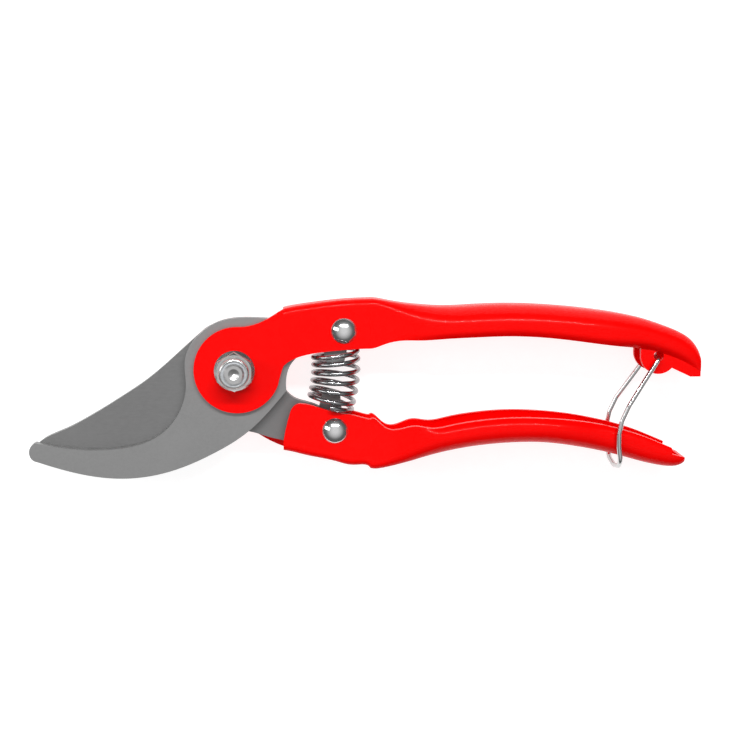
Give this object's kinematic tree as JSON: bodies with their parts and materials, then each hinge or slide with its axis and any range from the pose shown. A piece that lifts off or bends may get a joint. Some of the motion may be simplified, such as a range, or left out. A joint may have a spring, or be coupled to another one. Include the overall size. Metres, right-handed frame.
{
  "type": "bypass pruner",
  "caption": "Hand pruner with a curved hook plate and a bypass blade, red channel handles, a coil return spring and a wire loop latch, shown closed.",
  "frame": {"origin": "on the pivot axis, at the outer face of the bolt head, on the plane the closed tool rests on", "axes": "+X from the pivot towards the tail ends of the handles, +Y towards the handle that carries the hook plate, +Z along the pivot axis from the bolt head to the nut"},
  "size_m": [0.1993, 0.053, 0.0227],
  "materials": {
    "red_paint": "gloss enamel",
    "plate_steel": "satin blasted",
    "rivet_steel": "polished",
    "plain_steel": "plain zinc",
    "plated_steel": "bright zinc plate",
    "nylon": "matt",
    "spring_steel": "dark nickel plate",
    "wire_steel": "bright plate"
  },
  "bodies": {
    "upper_side": {"upper_handle": "red_paint", "hook_plate": "plate_steel", "upper_rivet": "rivet_steel", "upper_rivet_spacer": "plain_steel", "pivot_bolt": "plated_steel", "pivot_washer": "plain_steel", "lock_nut": "plated_steel", "nut_insert": "nylon", "return_spring": "spring_steel"},
    "lower_side": {"lower_handle": "red_paint", "blade": "plate_steel", "lower_rivet": "rivet_steel", "lower_rivet_spacer": "plain_steel"},
    "latch": {"latch_wire": "wire_steel"}
  },
  "joints": [
    {"name": "handle_pivot", "type": "hinge", "parent": "upper_side", "child": "lower_side", "pos_m": [0, 0, 0], "axis": [0, 0, -1], "range_deg": [0, 42], "deforming": ["return_spring"]},
    {"name": "latch_swing", "type": "hinge", "parent": "upper_side", "child": "latch", "pos_m": [0.12564, 0.0026, 0.00985], "axis": [0, 0, 1], "range_deg": [0, 75]}
  ]
}
